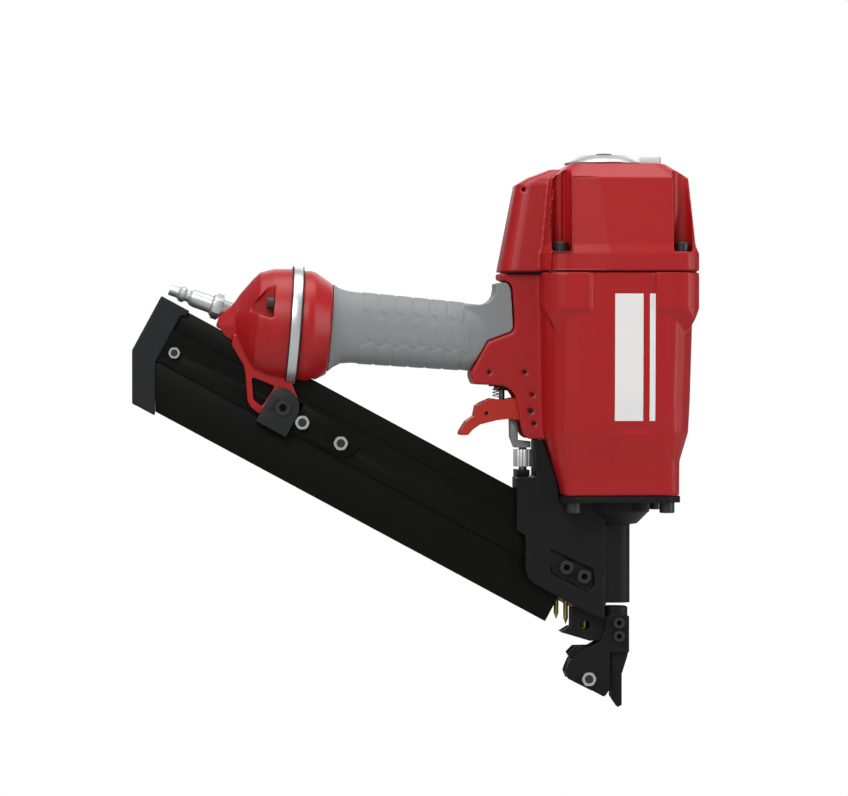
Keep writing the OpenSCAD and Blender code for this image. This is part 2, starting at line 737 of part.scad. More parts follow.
// ---------- magazine ----------

// Back edge of the magazine in its own frame: square to it above, upright below.
function mag_back(w, out) = w > 32 ? -348 - out : -348 - out + (32 - w) * tan(mag_tilt);

module mag_band(w0, w1, half) {
    side_plate([[0, w0], [0, w1], [mag_back(w1, 0), w1], [mag_back(w0, 0), w0]], -half, half);
}

module magazine_body() color("black") {
    at_magazine() difference() {
        union() {
            mag_band(0, 32, 12.2);
            mag_band(31.9, 34.2, 11.2);
            mag_band(34.1, 59.6, mag_half);
            mag_band(59.5, 61, 11.2);
            mag_band(60.9, mag_h, 11.8);
        }
        // nail channel
        translate([-400, -9.2, 3]) cube([420, 18.4, 65]);
        // side slot of the pusher knob, and the loading window, on the far side
        translate([-330, 5, 15]) cube([272, 20, 6]);
        translate([-318, 5, 8]) cube([40, 20, 52]);
        // holes of the through bolts
        for (u = strap_nuts) cross_bar([u, nut_w], 3.2, -20, 20);
        cross_bar(end_nut, 2.7, -20, 20);
        // clear of the nose
        translate([-6, -9.2, -5]) cube([20, 18.4, 90]);
        rotate([0, -mag_tilt, 0]) translate([17.5, -30, -10]) cube([60, 60, 140]);
    }
}

module magazine_liner() color("silver") {
    at_magazine() for (s = [-1, 1]) translate([-270, s > 0 ? 8.2 : -9.1, s > 0 ? 23 : 3.2])
        cube([262, 0.9, s > 0 ? 40 : 64]);
}

module magazine_end_cap() color("black") {
    at_magazine() difference() {
        side_plate([[-367.5, 77.8], [-367.5, 32], [-367.5 + 35 * tan(mag_tilt), -3], [-344, -2.8],
                    [-329.5, -2.8], [-348, 32], [-348, 72], [-344, 73], [-343.8, 77.8]], -14.6, 14.6);
        translate([-0.2, 0, 0]) {
            mag_band(-3, 32, mag_half + 0.2);
            mag_band(31.9, mag_h + 0.2, mag_half + 0.2);
        }
        difference() {
            side_plate([[-364.5, 74.8], [-364.5, 32], [-364.5 + 31 * tan(mag_tilt), 1], [-320, 1], [-338, 32],
                        [-338, 74.8]], -11, 11);
        }
        cross_bar(end_nut, 2.7, -20, 20);
    }
}

module end_cap_bolt() color("dimgray") {
    at_magazine() {
        cross_bar(end_nut, 2.5, -17.6, 13.2);
        cross_bar(end_nut, 4.3, 13.3, 17.3);
    }
}

module end_cap_nut() color("silver") {
    at_magazine() translate([end_nut[0], -13.2, end_nut[1]]) rotate([90, 0, 0]) hex_nut(8, 2.6, 4);
}

// ---------- nails and pusher ----------

first_nail = [-7.9, 46.8];

module nail_at(k, r, head_r) {
    x = first_nail[0] - k * nail_pitch;
    z = first_nail[1] + k * nail_pitch * tan(mag_tilt);
    translate([x, 0, z]) {
        cylinder(r1 = 0.3, r2 = r, h = 4.5);
        translate([0, 0, 4.49]) cylinder(r = r, h = nail_len - 6);
        translate([0, 0, nail_len - 1.6]) cylinder(r = head_r, h = 1.6);
    }
}

module nails() color("goldenrod") {
    for (k = [0 : nail_count - 1]) nail_at(k, 1.85, 3.5);
}

module paper_tape() color("tan") {
    run = (nail_count - 1) * nail_pitch;
    slope = tan(mag_tilt);
    difference() {
        union() for (up = [16, 38])
            side_plate([[first_nail[0] - 3.2, first_nail[1] + up], [first_nail[0] - run + 3, first_nail[1] + up + run * slope],
                        [first_nail[0] - run + 3, first_nail[1] + up + 10 + run * slope],
                        [first_nail[0] - 3.2, first_nail[1] + up + 10]], -0.5, 0.5);
        for (k = [0 : nail_count - 1]) translate([first_nail[0] - k * nail_pitch, 0, 40]) cylinder(r = 1.95, h = 260);
    }
}

last_u = (first_nail[0] - (nail_count - 1) * nail_pitch - mag_at[0]) * cos(mag_tilt)
         - (first_nail[1] + (nail_count - 1) * nail_pitch * tan(mag_tilt) - mag_at[2]) * sin(mag_tilt);

module pusher() color("dimgray") {
    at_magazine() difference() {
        side_plate([[last_u - 2.7, 5], [last_u - 30.5, 56.5], [last_u - 72, 56.5], [last_u - 72, 5]], -7.6, 7.6);
        translate([last_u - 42, 0, 20]) rotate([90, 0, 0]) cylinder(r = 11, h = 40, center = true);
        translate([last_u - 62, 0, 18]) rotate([-90, 0, 0]) cylinder(r = 2.1, h = 20);
    }
}

module pusher_knob() color("black") {
    at_magazine() {
        translate([last_u - 62, 1, 18]) rotate([-90, 0, 0]) cylinder(r = 2, h = 13);
        translate([last_u - 73, 12.8, 9]) cube([22, 7, 16]);
    }
}

module feed_spring() color("silver") {
    at_magazine() translate([last_u - 42, 7, 20]) rotate([90, 0, 0]) tube(10, 5, 14);
}

// ---------- magazine mounting ----------

module strap_plates() color("black") {
    at_magazine() for (s = [-1, 1]) difference() {
        union() {
            side_plate([[-262, 35], [-196, 35], [-190, 37], [-186, 41.5], [-185.2, 46.5], [-187, 52], [-190.5, 55.5],
                        [-196, 57.4], [-262, 57.4]], s > 0 ? mag_half + 0.1 : -mag_half - 0.8, s > 0 ? mag_half + 0.8 : -mag_half - 0.1);
            side_plate([[-236.2, 35.6], [-196, 35.6], [-190, 37.6], [-186.6, 42], [-185.8, 46.5], [-187.6, 51.6],
                        [-191, 55], [-196, 56.8], [-236.2, 56.8]], s > 0 ? mag_half + 0.1 : -mag_half - 2.4, s > 0 ? mag_half + 2.4 : -mag_half - 0.1);
        }
        for (u = strap_nuts) cross_bar([u, nut_w], 3.2, -30, 30);
        cross_bar(bracket_at, 6.3, -30, 30);
    }
}

module bracket_ears() color("black") {
    at_magazine() for (s = [-1, 1]) difference() {
        union() {
            side_plate([[-262, 29.4], [-236.8, 29.4], [-236.8, 50], [-240, 56.5], [-245, 60], [-250, 61.3], [-256, 61],
                        [-259.6, 58.6], [-261.6, 53]], s > 0 ? 18.1 : -21.3, s > 0 ? 21.3 : -18.1);
            side_plate([[-262, 29.4], [-236.8, 29.4], [-236.8, 33], [-262, 33]], s > 0 ? 12.6 : -21.3, s > 0 ? 21.3 : -12.6);
        }
        cross_bar(bracket_at, 3.3, -30, 30);
        mag_band(-1, 80, mag_half + 0.15);
    }
}

module strap_fasteners() color("silver") {
    at_magazine() {
        // bolts and nuts of the straps
        for (u = strap_nuts) for (s = [-1, 1]) {
            cross_bar([u, nut_w], 3, s > 0 ? 9.6 : -21.4, s > 0 ? 21.4 : -9.6);
            translate([u, s * (mag_half + 2.5), nut_w]) rotate([s > 0 ? -90 : 90, 0, 0]) hex_nut(10, 3.1, 5.4);
        }
        // pivot bolt of the bell's fork, with its bushes
        for (s = [-1, 1]) {
            cross_bar(bracket_at, 3, s > 0 ? 13.4 : -21.6, s > 0 ? 21.6 : -13.4);
            cross_bar(bracket_at, 6, s > 0 ? 21.5 : -24, s > 0 ? 24 : -21.5);
        }
    }
}

top_cap();
exhaust_deflector();
deflector_spout();
deflector_screw();
cap_screws();
cap_gasket();
head_valve();
head_valve_spring();
exhaust_seal();
housing();
handle_grip();
cylinder_sleeve();
sleeve_rings();
piston();
piston_ring();
driver_rod();
bumper();
base_plate();
base_screws();
nose_frame();
nose_barrel();
cheek_screws();
trigger();
trigger_pivot_pin();
trigger_lever();
lever_pin_rod();  // lever_pin
valve_stem();
trigger_valve();
trigger_spring();
valve_pins();
contact_link();
depth_wheel();
contact_rod();
contact_arm();
arm_screws();
contact_spring();
contact_block();
probe_blade();
probe_screws();
rear_jaw();
jaw_bolt();
jaw_nut();
nail_tip_guide();
magazine_body();
magazine_liner();
magazine_end_cap();
end_cap_bolt();
end_cap_nut();
pusher();
pusher_knob();
feed_spring();
nails();
paper_tape();
strap_plates();
bracket_ears();
strap_fasteners();
end_bell();
bell_ring();
bell_screws();
air_plug();
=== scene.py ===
# %% [markdown]
# # A pneumatic strip nailer
#
# The tool drives nails with compressed air. It has a red cast body that stands over the nose, a
# grip handle, a slanted black magazine that feeds nails into the nose, and a sprung probe that
# finds the spot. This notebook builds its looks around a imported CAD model. Each piece starts from
# the model's solids or from their sizes, and each step first says what the real piece is.

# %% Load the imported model
import math

import bmesh
import bpy
from mathutils import Matrix, Vector


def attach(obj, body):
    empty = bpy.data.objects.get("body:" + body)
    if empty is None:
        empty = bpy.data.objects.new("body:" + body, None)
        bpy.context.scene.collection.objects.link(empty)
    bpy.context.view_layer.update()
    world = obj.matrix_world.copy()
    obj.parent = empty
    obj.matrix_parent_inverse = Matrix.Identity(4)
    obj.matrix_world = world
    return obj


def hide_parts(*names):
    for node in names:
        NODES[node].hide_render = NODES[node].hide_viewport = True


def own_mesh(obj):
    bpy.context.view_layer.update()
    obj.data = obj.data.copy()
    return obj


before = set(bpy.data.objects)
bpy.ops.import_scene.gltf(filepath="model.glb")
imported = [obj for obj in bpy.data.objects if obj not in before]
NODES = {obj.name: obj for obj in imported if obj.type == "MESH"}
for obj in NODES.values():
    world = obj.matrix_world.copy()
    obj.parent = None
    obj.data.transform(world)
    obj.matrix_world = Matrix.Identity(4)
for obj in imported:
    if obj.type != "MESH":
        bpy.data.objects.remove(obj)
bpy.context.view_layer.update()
MM = 0.001

# %% [markdown]
# ## Camera
# The tool is seen square from its near side, turned a few degrees so that its back comes forward.
# A long lens from a couple of metres away keeps the shape nearly free of perspective.

# %% Camera
AZIMUTH, ELEVATION = math.radians(-4.0), math.radians(0.6)
DISTANCE = 2.6
AIM = Vector((-0.1435, 0.0, 0.2325))
VIEW_WIDTH = 0.636
SENSOR = 36.0

camera_data = bpy.data.cameras.new("camera")
camera_data.sensor_width = SENSOR
camera_data.lens = SENSOR * DISTANCE / VIEW_WIDTH
camera_data.clip_end = 50.0
camera = bpy.data.objects.new("camera", camera_data)
bpy.context.scene.collection.objects.link(camera)
towards = Vector((math.sin(AZIMUTH) * math.cos(ELEVATION), -math.cos(AZIMUTH) * math.cos(ELEVATION),
                  math.sin(ELEVATION)))
camera.location = AIM + towards * DISTANCE
camera.rotation_euler = (-towards).to_track_quat("-Z", "Y").to_euler()
bpy.context.scene.camera = camera
print("camera at", [round(v, 3) for v in camera.location])

# %% [markdown]
# ## Helpers for node trees
# Materials and Geometry Nodes trees are both made of nodes, so one small function adds a node
# with its settings and its links. Colours are written as sRGB hex values, the way a paint chart
# gives them, and one function turns them linear.


# %% Node helper and colours
def add(tree, kind, inputs=None, **settings):
    """One node, with its settings, and each input either a value or an output to link."""
    node = tree.nodes.new(kind)
    for key, value in settings.items():
        setattr(node, key, value)
    for key, value in (inputs or {}).items():
        if isinstance(value, bpy.types.NodeSocket):
            tree.links.new(value, node.inputs[key])
        else:
            node.inputs[key].default_value = value
    return node


def srgb(code):
    """'A32426' as a linear colour with full alpha."""
    parts = [int(code[i:i + 2], 16) / 255 for i in (0, 2, 4)]
    return [v / 12.92 if v <= 0.04045 else ((v + 0.055) / 1.055) ** 2.4 for v in parts] + [1.0]


print("helpers ready")

# %% [markdown]
# ## Surface finishes
# Each finish starts from what the real surface is. `finish` builds the common part: a base colour
# that drifts a little over the piece, a fine grain in the bump, and a roughness that varies with
# the same grain. Grain sizes are given in millimetres. Object coordinates are in metres, so a
# noise scale of 1000 divided by the grain size gives spots of about that size.


# %% Finish builder
def finish(name, dark, light, rough, metallic=0.0, grain_mm=0.6, bump=0.15, drift_mm=18.0, stretch=None,
           turn=None, **shader):
    """A material whose colour drifts between dark and light, with a fine grain in bump and roughness."""
    material = bpy.data.materials.new(name)
    material.use_nodes = True
    tree = material.node_tree
    tree.nodes.clear()
    place = add(tree, "ShaderNodeTexCoord").outputs["Object"]
    mapped = add(tree, "ShaderNodeMapping", {"Vector": place})
    if turn:
        mapped.inputs["Rotation"].default_value = turn
    if stretch:
        mapped.inputs["Scale"].default_value = stretch
    drift = add(tree, "ShaderNodeTexNoise", {"Vector": place, "Scale": 1000 / drift_mm, "Detail": 3.0})
    tint = add(tree, "ShaderNodeMix", {"Factor": drift.outputs["Fac"], "A": srgb(dark), "B": srgb(light)},
               data_type="RGBA")
    grain = add(tree, "ShaderNodeTexNoise", {"Vector": mapped.outputs["Vector"], "Scale": 1000 / grain_mm,
                                             "Detail": 2.0})
    roughness = add(tree, "ShaderNodeMapRange", {"Value": grain.outputs["Fac"], "To Min": rough - 0.05,
                                                 "To Max": rough + 0.05})
    relief = add(tree, "ShaderNodeBump", {"Height": grain.outputs["Fac"], "Strength": bump,
                                          "Distance": grain_mm * MM * 0.25})
    surface = add(tree, "ShaderNodeBsdfPrincipled", {
        "Base Color": tint.outputs["Result"], "Metallic": metallic, "Roughness": roughness.outputs["Result"],
        "Normal": relief.outputs["Normal"]})
    for key, value in shader.items():
        surface.inputs[key.replace("_", " ")].default_value = value
    add(tree, "ShaderNodeOutputMaterial", {"Surface": surface.outputs["BSDF"]})
    return material


MAG_TILT = math.radians(28.4)

# Cast magnesium with a baked, slightly pebbled paint: broad soft highlights under a thin gloss.
RED = finish("painted magnesium", "9C0B0F", "A71113", 0.42, grain_mm=0.7, bump=0.10, drift_mm=40,
             Coat_Weight=0.12, Coat_Roughness=0.3, Specular_IOR_Level=0.35)
# Glass-filled nylon trigger: a warmer red than the paint, and duller.
TRIGGER_RED = finish("red glass filled nylon", "AE2418", "B82C1E", 0.46, grain_mm=0.5, bump=0.12,
                     Specular_IOR_Level=0.35)
# Soft overmould of the grip: a matt grey elastomer with a fine spark-eroded texture.
GRIP_GREY = finish("grey elastomer overmould", "7B8082", "858A8B", 0.62, grain_mm=0.45, bump=0.22,
                   drift_mm=60)
# Black hard-anodised extrusion: the grain runs along its length, so it is stretched that way.
MAGAZINE_BLACK = finish("black anodised aluminium", "090908", "0E0E0B", 0.42, grain_mm=0.8, bump=0.10,
                        drift_mm=90, turn=(0, -MAG_TILT, 0), stretch=(0.06, 1, 1), Specular_IOR_Level=0.1)
# Black electro-coated casting: slightly pebbled, satin.
CAST_BLACK = finish("black coated casting", "101011", "171718", 0.46, grain_mm=0.9, bump=0.22, drift_mm=25,
                    Specular_IOR_Level=0.2)
# Moulded black nylon of the end cap: lighter than the metal and evenly matt.
PLASTIC_BLACK = finish("moulded black nylon", "16181A", "1D1F21", 0.50, grain_mm=0.4, bump=0.15,
                       Specular_IOR_Level=0.25)
# Pressed steel of the magazine bracket, coated dark with a green cast.
BRACKET_BLACK = finish("coated pressed steel", "151918", "1C201F", 0.5, grain_mm=0.6, bump=0.14,
                       Specular_IOR_Level=0.35)
# Screws with a black oxide finish keep a little of the steel's shine.
OXIDE = finish("black oxide steel", "2E2E2F", "3E3E3F", 0.40, metallic=0.6, grain_mm=0.5, bump=0.06)
# Zinc plate on nuts and bolts: a bright, faintly blue grey.
ZINC = finish("zinc plated steel", "BFC2C2", "DADCDA", 0.28, metallic=1.0, grain_mm=0.7, bump=0.06)
# The air plug is nickel plate over a turned surface: satin, so its steps shade softly.
NICKEL = finish("nickel plated steel", "B9BCBD", "CBCDCD", 0.42, metallic=0.75, grain_mm=0.6, bump=0.03)
# The ring and the deflector are bright aluminium, turned rather than buffed: a soft broad gleam.
BRIGHT_ALLOY = finish("turned bright aluminium", "C6C9CC", "D6D8DA", 0.36, metallic=0.85,
                      grain_mm=1.2, bump=0.02)
# The depth wheel is satin plated.
WHEEL = finish("satin plated steel", "CFD1CC", "DEE0DA", 0.45, metallic=0.6, grain_mm=0.6, bump=0.04)
# Hardened steel without a plate is a darker grey.
BARE_STEEL = finish("hardened steel", "7C7E7E", "929494", 0.38, metallic=0.9, grain_mm=0.6, bump=0.08)
DARK_STEEL = finish("blued steel", "1C1C1D", "2B2B2C", 0.40, metallic=0.8, grain_mm=0.8, bump=0.10)
# The floor of a screw's key hole is painted nearly black: painted shade where the recess lies in shadow.
KEYHOLE_SHADE = finish("painted shade in a key hole", "050505", "080808", 0.7, grain_mm=0.8, bump=0.0,
               Specular_IOR_Level=0.1)
# Yellow zinc plate on the nails.
NAIL_GOLD = finish("yellow zinc plated steel", "93853C", "B5A65C", 0.36, metallic=1.0,
                   grain_mm=0.8, bump=0.08)
SPOUT_PALE = finish("pale moulded plastic", "C9CFCF", "DADEDC", 0.45, grain_mm=0.5, bump=0.08)
SEAL = finish("nitrile rubber", "0E0E0E", "161616", 0.55, grain_mm=0.6, bump=0.12)
PAPER = finish("kraft paper tape", "A98A5E", "BEA076", 0.8, grain_mm=0.7, bump=0.2)
WHITE_INK = finish("white screen print", "DDDCDA", "E6E5E3", 0.5, grain_mm=0.5, bump=0.04)
print("finishes:", len(bpy.data.materials))

# %% [markdown]
# ## Making pieces from the CAD solids
# The CAD solids have the right shape and place but razor edges. Two helpers turn a merged copy of
# a solid into a real-looking one. `cast` is for castings and mouldings: a voxel remesh followed by
# smoothing rounds every edge the way foundry fillets do. `machined` is for cut, extruded and
# turned metal: it keeps flats flat and breaks each edge with a small bevel.


# %% Piece helpers
def to_object(name, mesh, material):
    piece = bpy.data.objects.new(name, mesh)
    bpy.context.scene.collection.objects.link(piece)
    mesh.materials.clear()
    mesh.materials.append(material)
    return piece


def baked(piece):
    """The piece's mesh with its modifiers applied, in place of the live modifiers."""
    graph = bpy.context.evaluated_depsgraph_get()
    mesh = bpy.data.meshes.new_from_object(piece.evaluated_get(graph), depsgraph=graph)
    piece.modifiers.clear()
    old = piece.data
    piece.data = mesh
    bpy.data.meshes.remove(old)
    return piece


def merged(*names):
    """A mesh of one or more CAD nodes with their loose triangles joined up."""
    shape = bmesh.new()
    for name in names:
        shape.from_mesh(NODES[name].data)
    bmesh.ops.remove_doubles(shape, verts=shape.verts, dist=2e-6)
    return shape


def shade(mesh, angle=32):
    mesh.shade_smooth()
    mesh.set_sharp_from_angle(angle=math.radians(angle))


def seat(piece, nodes, body="root"):
    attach(piece, body)
    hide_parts(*nodes)
    print(piece.name, len(piece.data.polygons), "faces")
    return piece


def remeshed(piece, voxel_mm, smooth, keep=1.0):
    """Voxel remesh, then smoothing, then an optional thinning of the triangles."""
    piece.modifiers.new("grid", "REMESH").mode = "VOXEL"
    piece.modifiers["grid"].voxel_size = voxel_mm * MM
    relax = piece.modifiers.new("relax", "SMOOTH")
    relax.factor, relax.iterations = 0.5, smooth
    if keep < 1:
        piece.modifiers.new("thin", "DECIMATE").ratio = keep
    baked(piece)
    piece.data.shade_smooth()
    return piece


def cast(name, nodes, material, body="root", voxel_mm=0.8, smooth=4, keep=1.0, shape=None,
         change=None):
    """A casting: the CAD solids with every edge rounded, and an optional change to each vertex."""
    shape = shape or merged(*nodes)
    mesh = bpy.data.meshes.new(name)
    shape.to_mesh(mesh)
    shape.free()
    piece = remeshed(to_object(name, mesh, material), voxel_mm, smooth, keep)
    piece.data.materials.clear()
    piece.data.materials.append(material)
    if change:
        moves = [(v, change(v.co, v.normal)) for v in piece.data.vertices]
        for vertex, move in moves:
            vertex.co += move
    return seat(piece, nodes, body)


def machined(name, nodes, material, body="root", bevel_mm=0.35, flat=1.0):
    """A cut or turned piece: flats are joined up and each edge gets a small bevel."""
    shape = merged(*nodes)
    bmesh.ops.dissolve_limit(shape, angle_limit=math.radians(flat), verts=shape.verts, edges=shape.edges)
    mesh = bpy.data.meshes.new(name)
    shape.to_mesh(mesh)
    shape.free()
    piece = to_object(name, mesh, material)
    edge = piece.modifiers.new("edge", "BEVEL")
    edge.width, edge.segments, edge.limit_method = bevel_mm * MM, 2, "ANGLE"
    edge.angle_limit = math.radians(35)
    edge.use_clamp_overlap = True
    baked(piece)
    shade(piece.data)
    return seat(piece, nodes, body)


print("piece helpers ready")

# %% [markdown]
# ## Housing
# The housing is one magnesium casting: the tall barrel round the cylinder, the flat neck with the
# trigger guard, and the front half of the handle's bell. Foundry fillets round every corner, so a
# voxel remesh suits it. A shallow raised pad low on each face is pushed out afterwards.


# %% Housing
def step(x, low, high):
    """0 below low, 1 above high, and smooth between."""
    t = min(max((x - low) / (high - low), 0.0), 1.0)
    return t * t * (3 - 2 * t)


PAD_X, PAD_Z, PAD_OUT = (-7.5, 27.0), (150.0, 208.0), 0.7
# A vertex is on a broad face where its normal points at least this much to the side.
BROAD = 0.75


def housing_change(co, normal):
    """The raised pad low on both faces."""
    if abs(normal.y) < BROAD or abs(co.y) < 38 * MM:
        return Vector()
    x, z = co.x / MM, co.z / MM
    edge = 0.9
    inside = (step(x, PAD_X[0], PAD_X[0] + edge) * (1 - step(x, PAD_X[1] - edge, PAD_X[1]))
              * (1 - step(z, PAD_Z[1] - edge, PAD_Z[1])))
    return Vector((0, math.copysign(PAD_OUT * inside * MM, co.y), 0))


housing = cast("housing_shell", ["housing"], RED, voxel_mm=1.2, smooth=3, keep=0.58,
               change=housing_change)

# %% [markdown]
# ## Top cap
# The cap is a second casting, bolted down through four deep flutes. Its two broad faces are each
# folded very slightly along a slanted line, which catches the light as a faint ridge.

# %% Top cap
RIDGE_TOP, RIDGE_FOOT = Vector((-17.0, 395.0)), Vector((-8.0, 327.0))
# How far a face falls away per millimetre behind the ridge, and how far back that goes on.
FOLD, FOLD_REACH = 0.10, 30.0


def cap_change(co, normal):
    """Tilts each broad face a little, behind the slanted ridge."""
    if abs(normal.y) < BROAD or abs(co.y) < 36 * MM:
        return Vector()
    x, z = co.x / MM, co.z / MM
    along = (z - RIDGE_FOOT.y) / (RIDGE_TOP.y - RIDGE_FOOT.y)
    ridge = RIDGE_FOOT.x + (RIDGE_TOP.x - RIDGE_FOOT.x) * along
    behind = max(0.0, ridge - x)
    return Vector((0, -math.copysign(FOLD * min(behind, FOLD_REACH) * MM, co.y), 0))


cast("top_cap_shell", ["top_cap"], RED, voxel_mm=0.85, smooth=3, keep=0.6,
     change=cap_change)

# %% [markdown]
# ## End bell
# The end bell closes the handle at the back and carries the air plug. It is cast in the same
# metal as the housing, with a forked foot that straddles the magazine.

# %% End bell
cast("end_bell_shell", ["end_bell"], RED, voxel_mm=0.8, smooth=3, keep=0.7)

# %% [markdown]
# ## Black castings
# The nose frame, base plate, contact block, jaw and point guide are cast or forged, then coated
# black. They are small and sharp next to the body, so their voxels are finer.

# %% Black castings
cast("nose_frame_casting", ["nose_frame"], CAST_BLACK, voxel_mm=0.7, smooth=2, keep=0.7)
cast("contact_block_casting", ["contact_block"], CAST_BLACK, "contact", voxel_mm=0.4,
     smooth=2)
cast("rear_jaw_casting", ["rear_jaw"], CAST_BLACK, "rear_jaw", voxel_mm=0.4, smooth=2)
cast("nail_tip_guide_casting", ["nail_tip_guide"], CAST_BLACK, "contact", voxel_mm=0.35,
     smooth=2)
cast("trigger_moulding", ["trigger"], TRIGGER_RED, "trigger", voxel_mm=0.4, smooth=3)
cast("end_cap_moulding", ["magazine_end_cap"], PLASTIC_BLACK, voxel_mm=0.7, smooth=2)
machined("base_plate_cut", ["base_plate"], CAST_BLACK, bevel_mm=0.6)

# %% [markdown]
# ## Grip
# The grip is a soft moulding over the handle tube. Its section is a rounded oval that flares at
# the bell and climbs the neck in a collar. Three rows of slanted pads stand a little over half a
# millimetre proud on each side. It is lofted from rings along the handle, with the pads worked
# into the rings' radius, then joined to its collar by a fine remesh.

# %% Grip sections and tread
HANDLE = Matrix.Translation((-0.241, 0, 0.286)) @ Matrix.Rotation(math.radians(4.5), 4, "Y")
# Each ring: place along the handle, half width, half height and middle height, in mm.
GRIP_RINGS = [(27, 24.5, 33.0, 1.0), (31, 22.2, 29.8, 1.6), (36.5, 21.0, 27.4, 2.6),
              (44, 20.6, 26.5, 2.8), (52, 20.5, 26.3, 2.8), (88, 20.2, 25.7, 2.7),
              (124, 19.8, 25.0, 2.6), (137, 19.6, 25.2, 2.2), (144, 19.4, 25.4, 2.0)]
PAD_PITCH, PAD_HEIGHT, PAD_START, PADS_IN_ROW = 12.9, 0.6, 60, 6
# Each row of pads: its lower and upper edge, its shift along the handle and the lean of its ends.
PAD_ROWS = [(-10.0, 9.5, 0.0, 0.42), (11.0, 34.0, -5.0, 0.42), (-34.0, -11.5, -5.0, -0.42)]


def ring_at(u):
    """Half width, half height and middle of the grip's section at u millimetres along it."""
    for a, b in zip(GRIP_RINGS, GRIP_RINGS[1:]):
        if u <= b[0]:
            t = (u - a[0]) / (b[0] - a[0])
            return [p + (q - p) * t for p, q in zip(a[1:], b[1:])]
    return list(GRIP_RINGS[-1][1:])


def pad_relief(u, w):
    """Height of the tread at u along the handle and w across it, in millimetres."""
    best = 0.0
    for low, high, shift, lean in PAD_ROWS:
        for k in range(PADS_IN_ROW):
            across = u - (PAD_START + k * PAD_PITCH + shift)
            d = min(PAD_PITCH / 2 - 0.5 - abs(across), high - w - lean * across, w - low + lean * across)
            rim = step(d, 0.0, 0.8)
            if shift == 0.0:
                rim -= 0.5 * step(d, 1.3, 2.0) * (1 - step(d, 2.3, 3.0))
            best = max(best, rim)
    return best * PAD_HEIGHT


def grip_mesh(stations=270, spokes=168, squareness=0.8):
    shape = bmesh.new()
    rings = []
    u0, u1 = GRIP_RINGS[0][0], GRIP_RINGS[-1][0]
    for j in range(stations + 1):
        u = u0 + (u1 - u0) * j / stations
        half_w, half_h, middle = ring_at(u)
        row = []
        for i in range(spokes):
            c, s = math.cos(2 * math.pi * i / spokes), math.sin(2 * math.pi * i / spokes)
            y = half_w * math.copysign(abs(c) ** squareness, c)
            w = half_h * math.copysign(abs(s) ** squareness, s)
            out = Vector((0, y / half_w ** 2, w / half_h ** 2)).normalized()
            lift = pad_relief(u, w)
            point = Vector((u, y, middle + w)) + out * lift
            row.append(shape.verts.new(HANDLE @ (point * MM)))
        rings.append(row)
    for a, b in zip(rings, rings[1:]):
        for i in range(spokes):
            k = (i + 1) % spokes
            shape.faces.new((a[i], a[k], b[k], b[i]))
    shape.faces.new(rings[0][::-1])
    shape.faces.new(rings[-1])
    bmesh.ops.recalc_face_normals(shape, faces=shape.faces)
    return shape


print("tread height", PAD_HEIGHT, "mm")

# %% Grip: cut, collar and union
# Side outline of the collar that climbs the neck, as x and z in mm.
COLLAR = [(-114, 262), (-114, 302.0), (-110, 302.0), (-106, 302.2), (-101, 302.4), (-96.6, 303.9),
          (-93.6, 306.2), (-91.6, 309.6), (-90.8, 313.5), (-90.6, 318.4), (-84, 318.9), (-81.5, 317.2),
          (-80, 314), (-79, 301.5), (-78.3, 285.4), (-80, 282.2), (-97.2, 275.8), (-99.1, 273.4)]
COLLAR_HALF, COLLAR_ROOT = 19.3, 14.0

# The plane that ends the lofted part at the neck: a point on it in mm, and its outward direction.
CUT_POINT, CUT_OUTWARD = Vector((-110.6, 0, 252)), Vector((0.8755, 0, -0.4833))

grip_shape = grip_mesh()
bmesh.ops.bisect_plane(
    grip_shape, geom=grip_shape.verts[:] + grip_shape.edges[:] + grip_shape.faces[:],
    plane_co=CUT_POINT * MM, plane_no=CUT_OUTWARD, clear_outer=True)
bmesh.ops.holes_fill(grip_shape, edges=[e for e in grip_shape.edges if e.is_boundary])
half = [COLLAR_ROOT + (COLLAR_HALF - COLLAR_ROOT) * step(x, -113, -101) for x, z in COLLAR]
front = [grip_shape.verts.new(Vector((x, -h, z)) * MM) for (x, z), h in zip(COLLAR, half)]
back = [grip_shape.verts.new(Vector((x, h, z)) * MM) for (x, z), h in zip(COLLAR, half)]
grip_shape.faces.new(front)
grip_shape.faces.new(back[::-1])
for i in range(len(COLLAR)):
    k = (i + 1) % len(COLLAR)
    grip_shape.faces.new((front[i], back[i], back[k], front[k]))
bmesh.ops.recalc_face_normals(grip_shape, faces=grip_shape.faces)
cast("grip_moulding", ["handle_grip"], GRIP_GREY, shape=grip_shape, voxel_mm=0.6,
     smooth=2)

# %% [markdown]
# ## Machined and extruded pieces
# The magazine is an extrusion; the ring, plug, blade and links are turned or milled. They keep
# their flats, and a small bevel gives each edge the line of light that real metal shows.

# %% Machined pieces
machined("magazine_extrusion", ["magazine_body"], MAGAZINE_BLACK, bevel_mm=0.7)
machined("bell_ring_turned", ["bell_ring"], BRIGHT_ALLOY, bevel_mm=0.15)
machined("strap_plates_cut", ["strap_plates"], MAGAZINE_BLACK, bevel_mm=0.3)
machined("bracket_ears_cut", ["bracket_ears"], BRACKET_BLACK, bevel_mm=0.5)
machined("air_plug_turned", ["air_plug"], NICKEL, bevel_mm=0.3)
machined("deflector_turned", ["exhaust_deflector"], BRIGHT_ALLOY, "deflector", bevel_mm=0.5)
machined("deflector_spout_moulded", ["deflector_spout"], SPOUT_PALE, "deflector",
         bevel_mm=0.8)
machined("deflector_screw_turned", ["deflector_screw"], OXIDE, bevel_mm=0.3)
machined("depth_wheel_turned", ["depth_wheel"], WHEEL, "depth_wheel", bevel_mm=0.4)
machined("contact_rod_turned", ["contact_rod"], BARE_STEEL, "contact", bevel_mm=0.4)
machined("contact_link_cut", ["contact_link"], BARE_STEEL, "contact_link", bevel_mm=0.3)
machined("contact_arm_cut", ["contact_arm"], DARK_STEEL, "contact", bevel_mm=0.3)
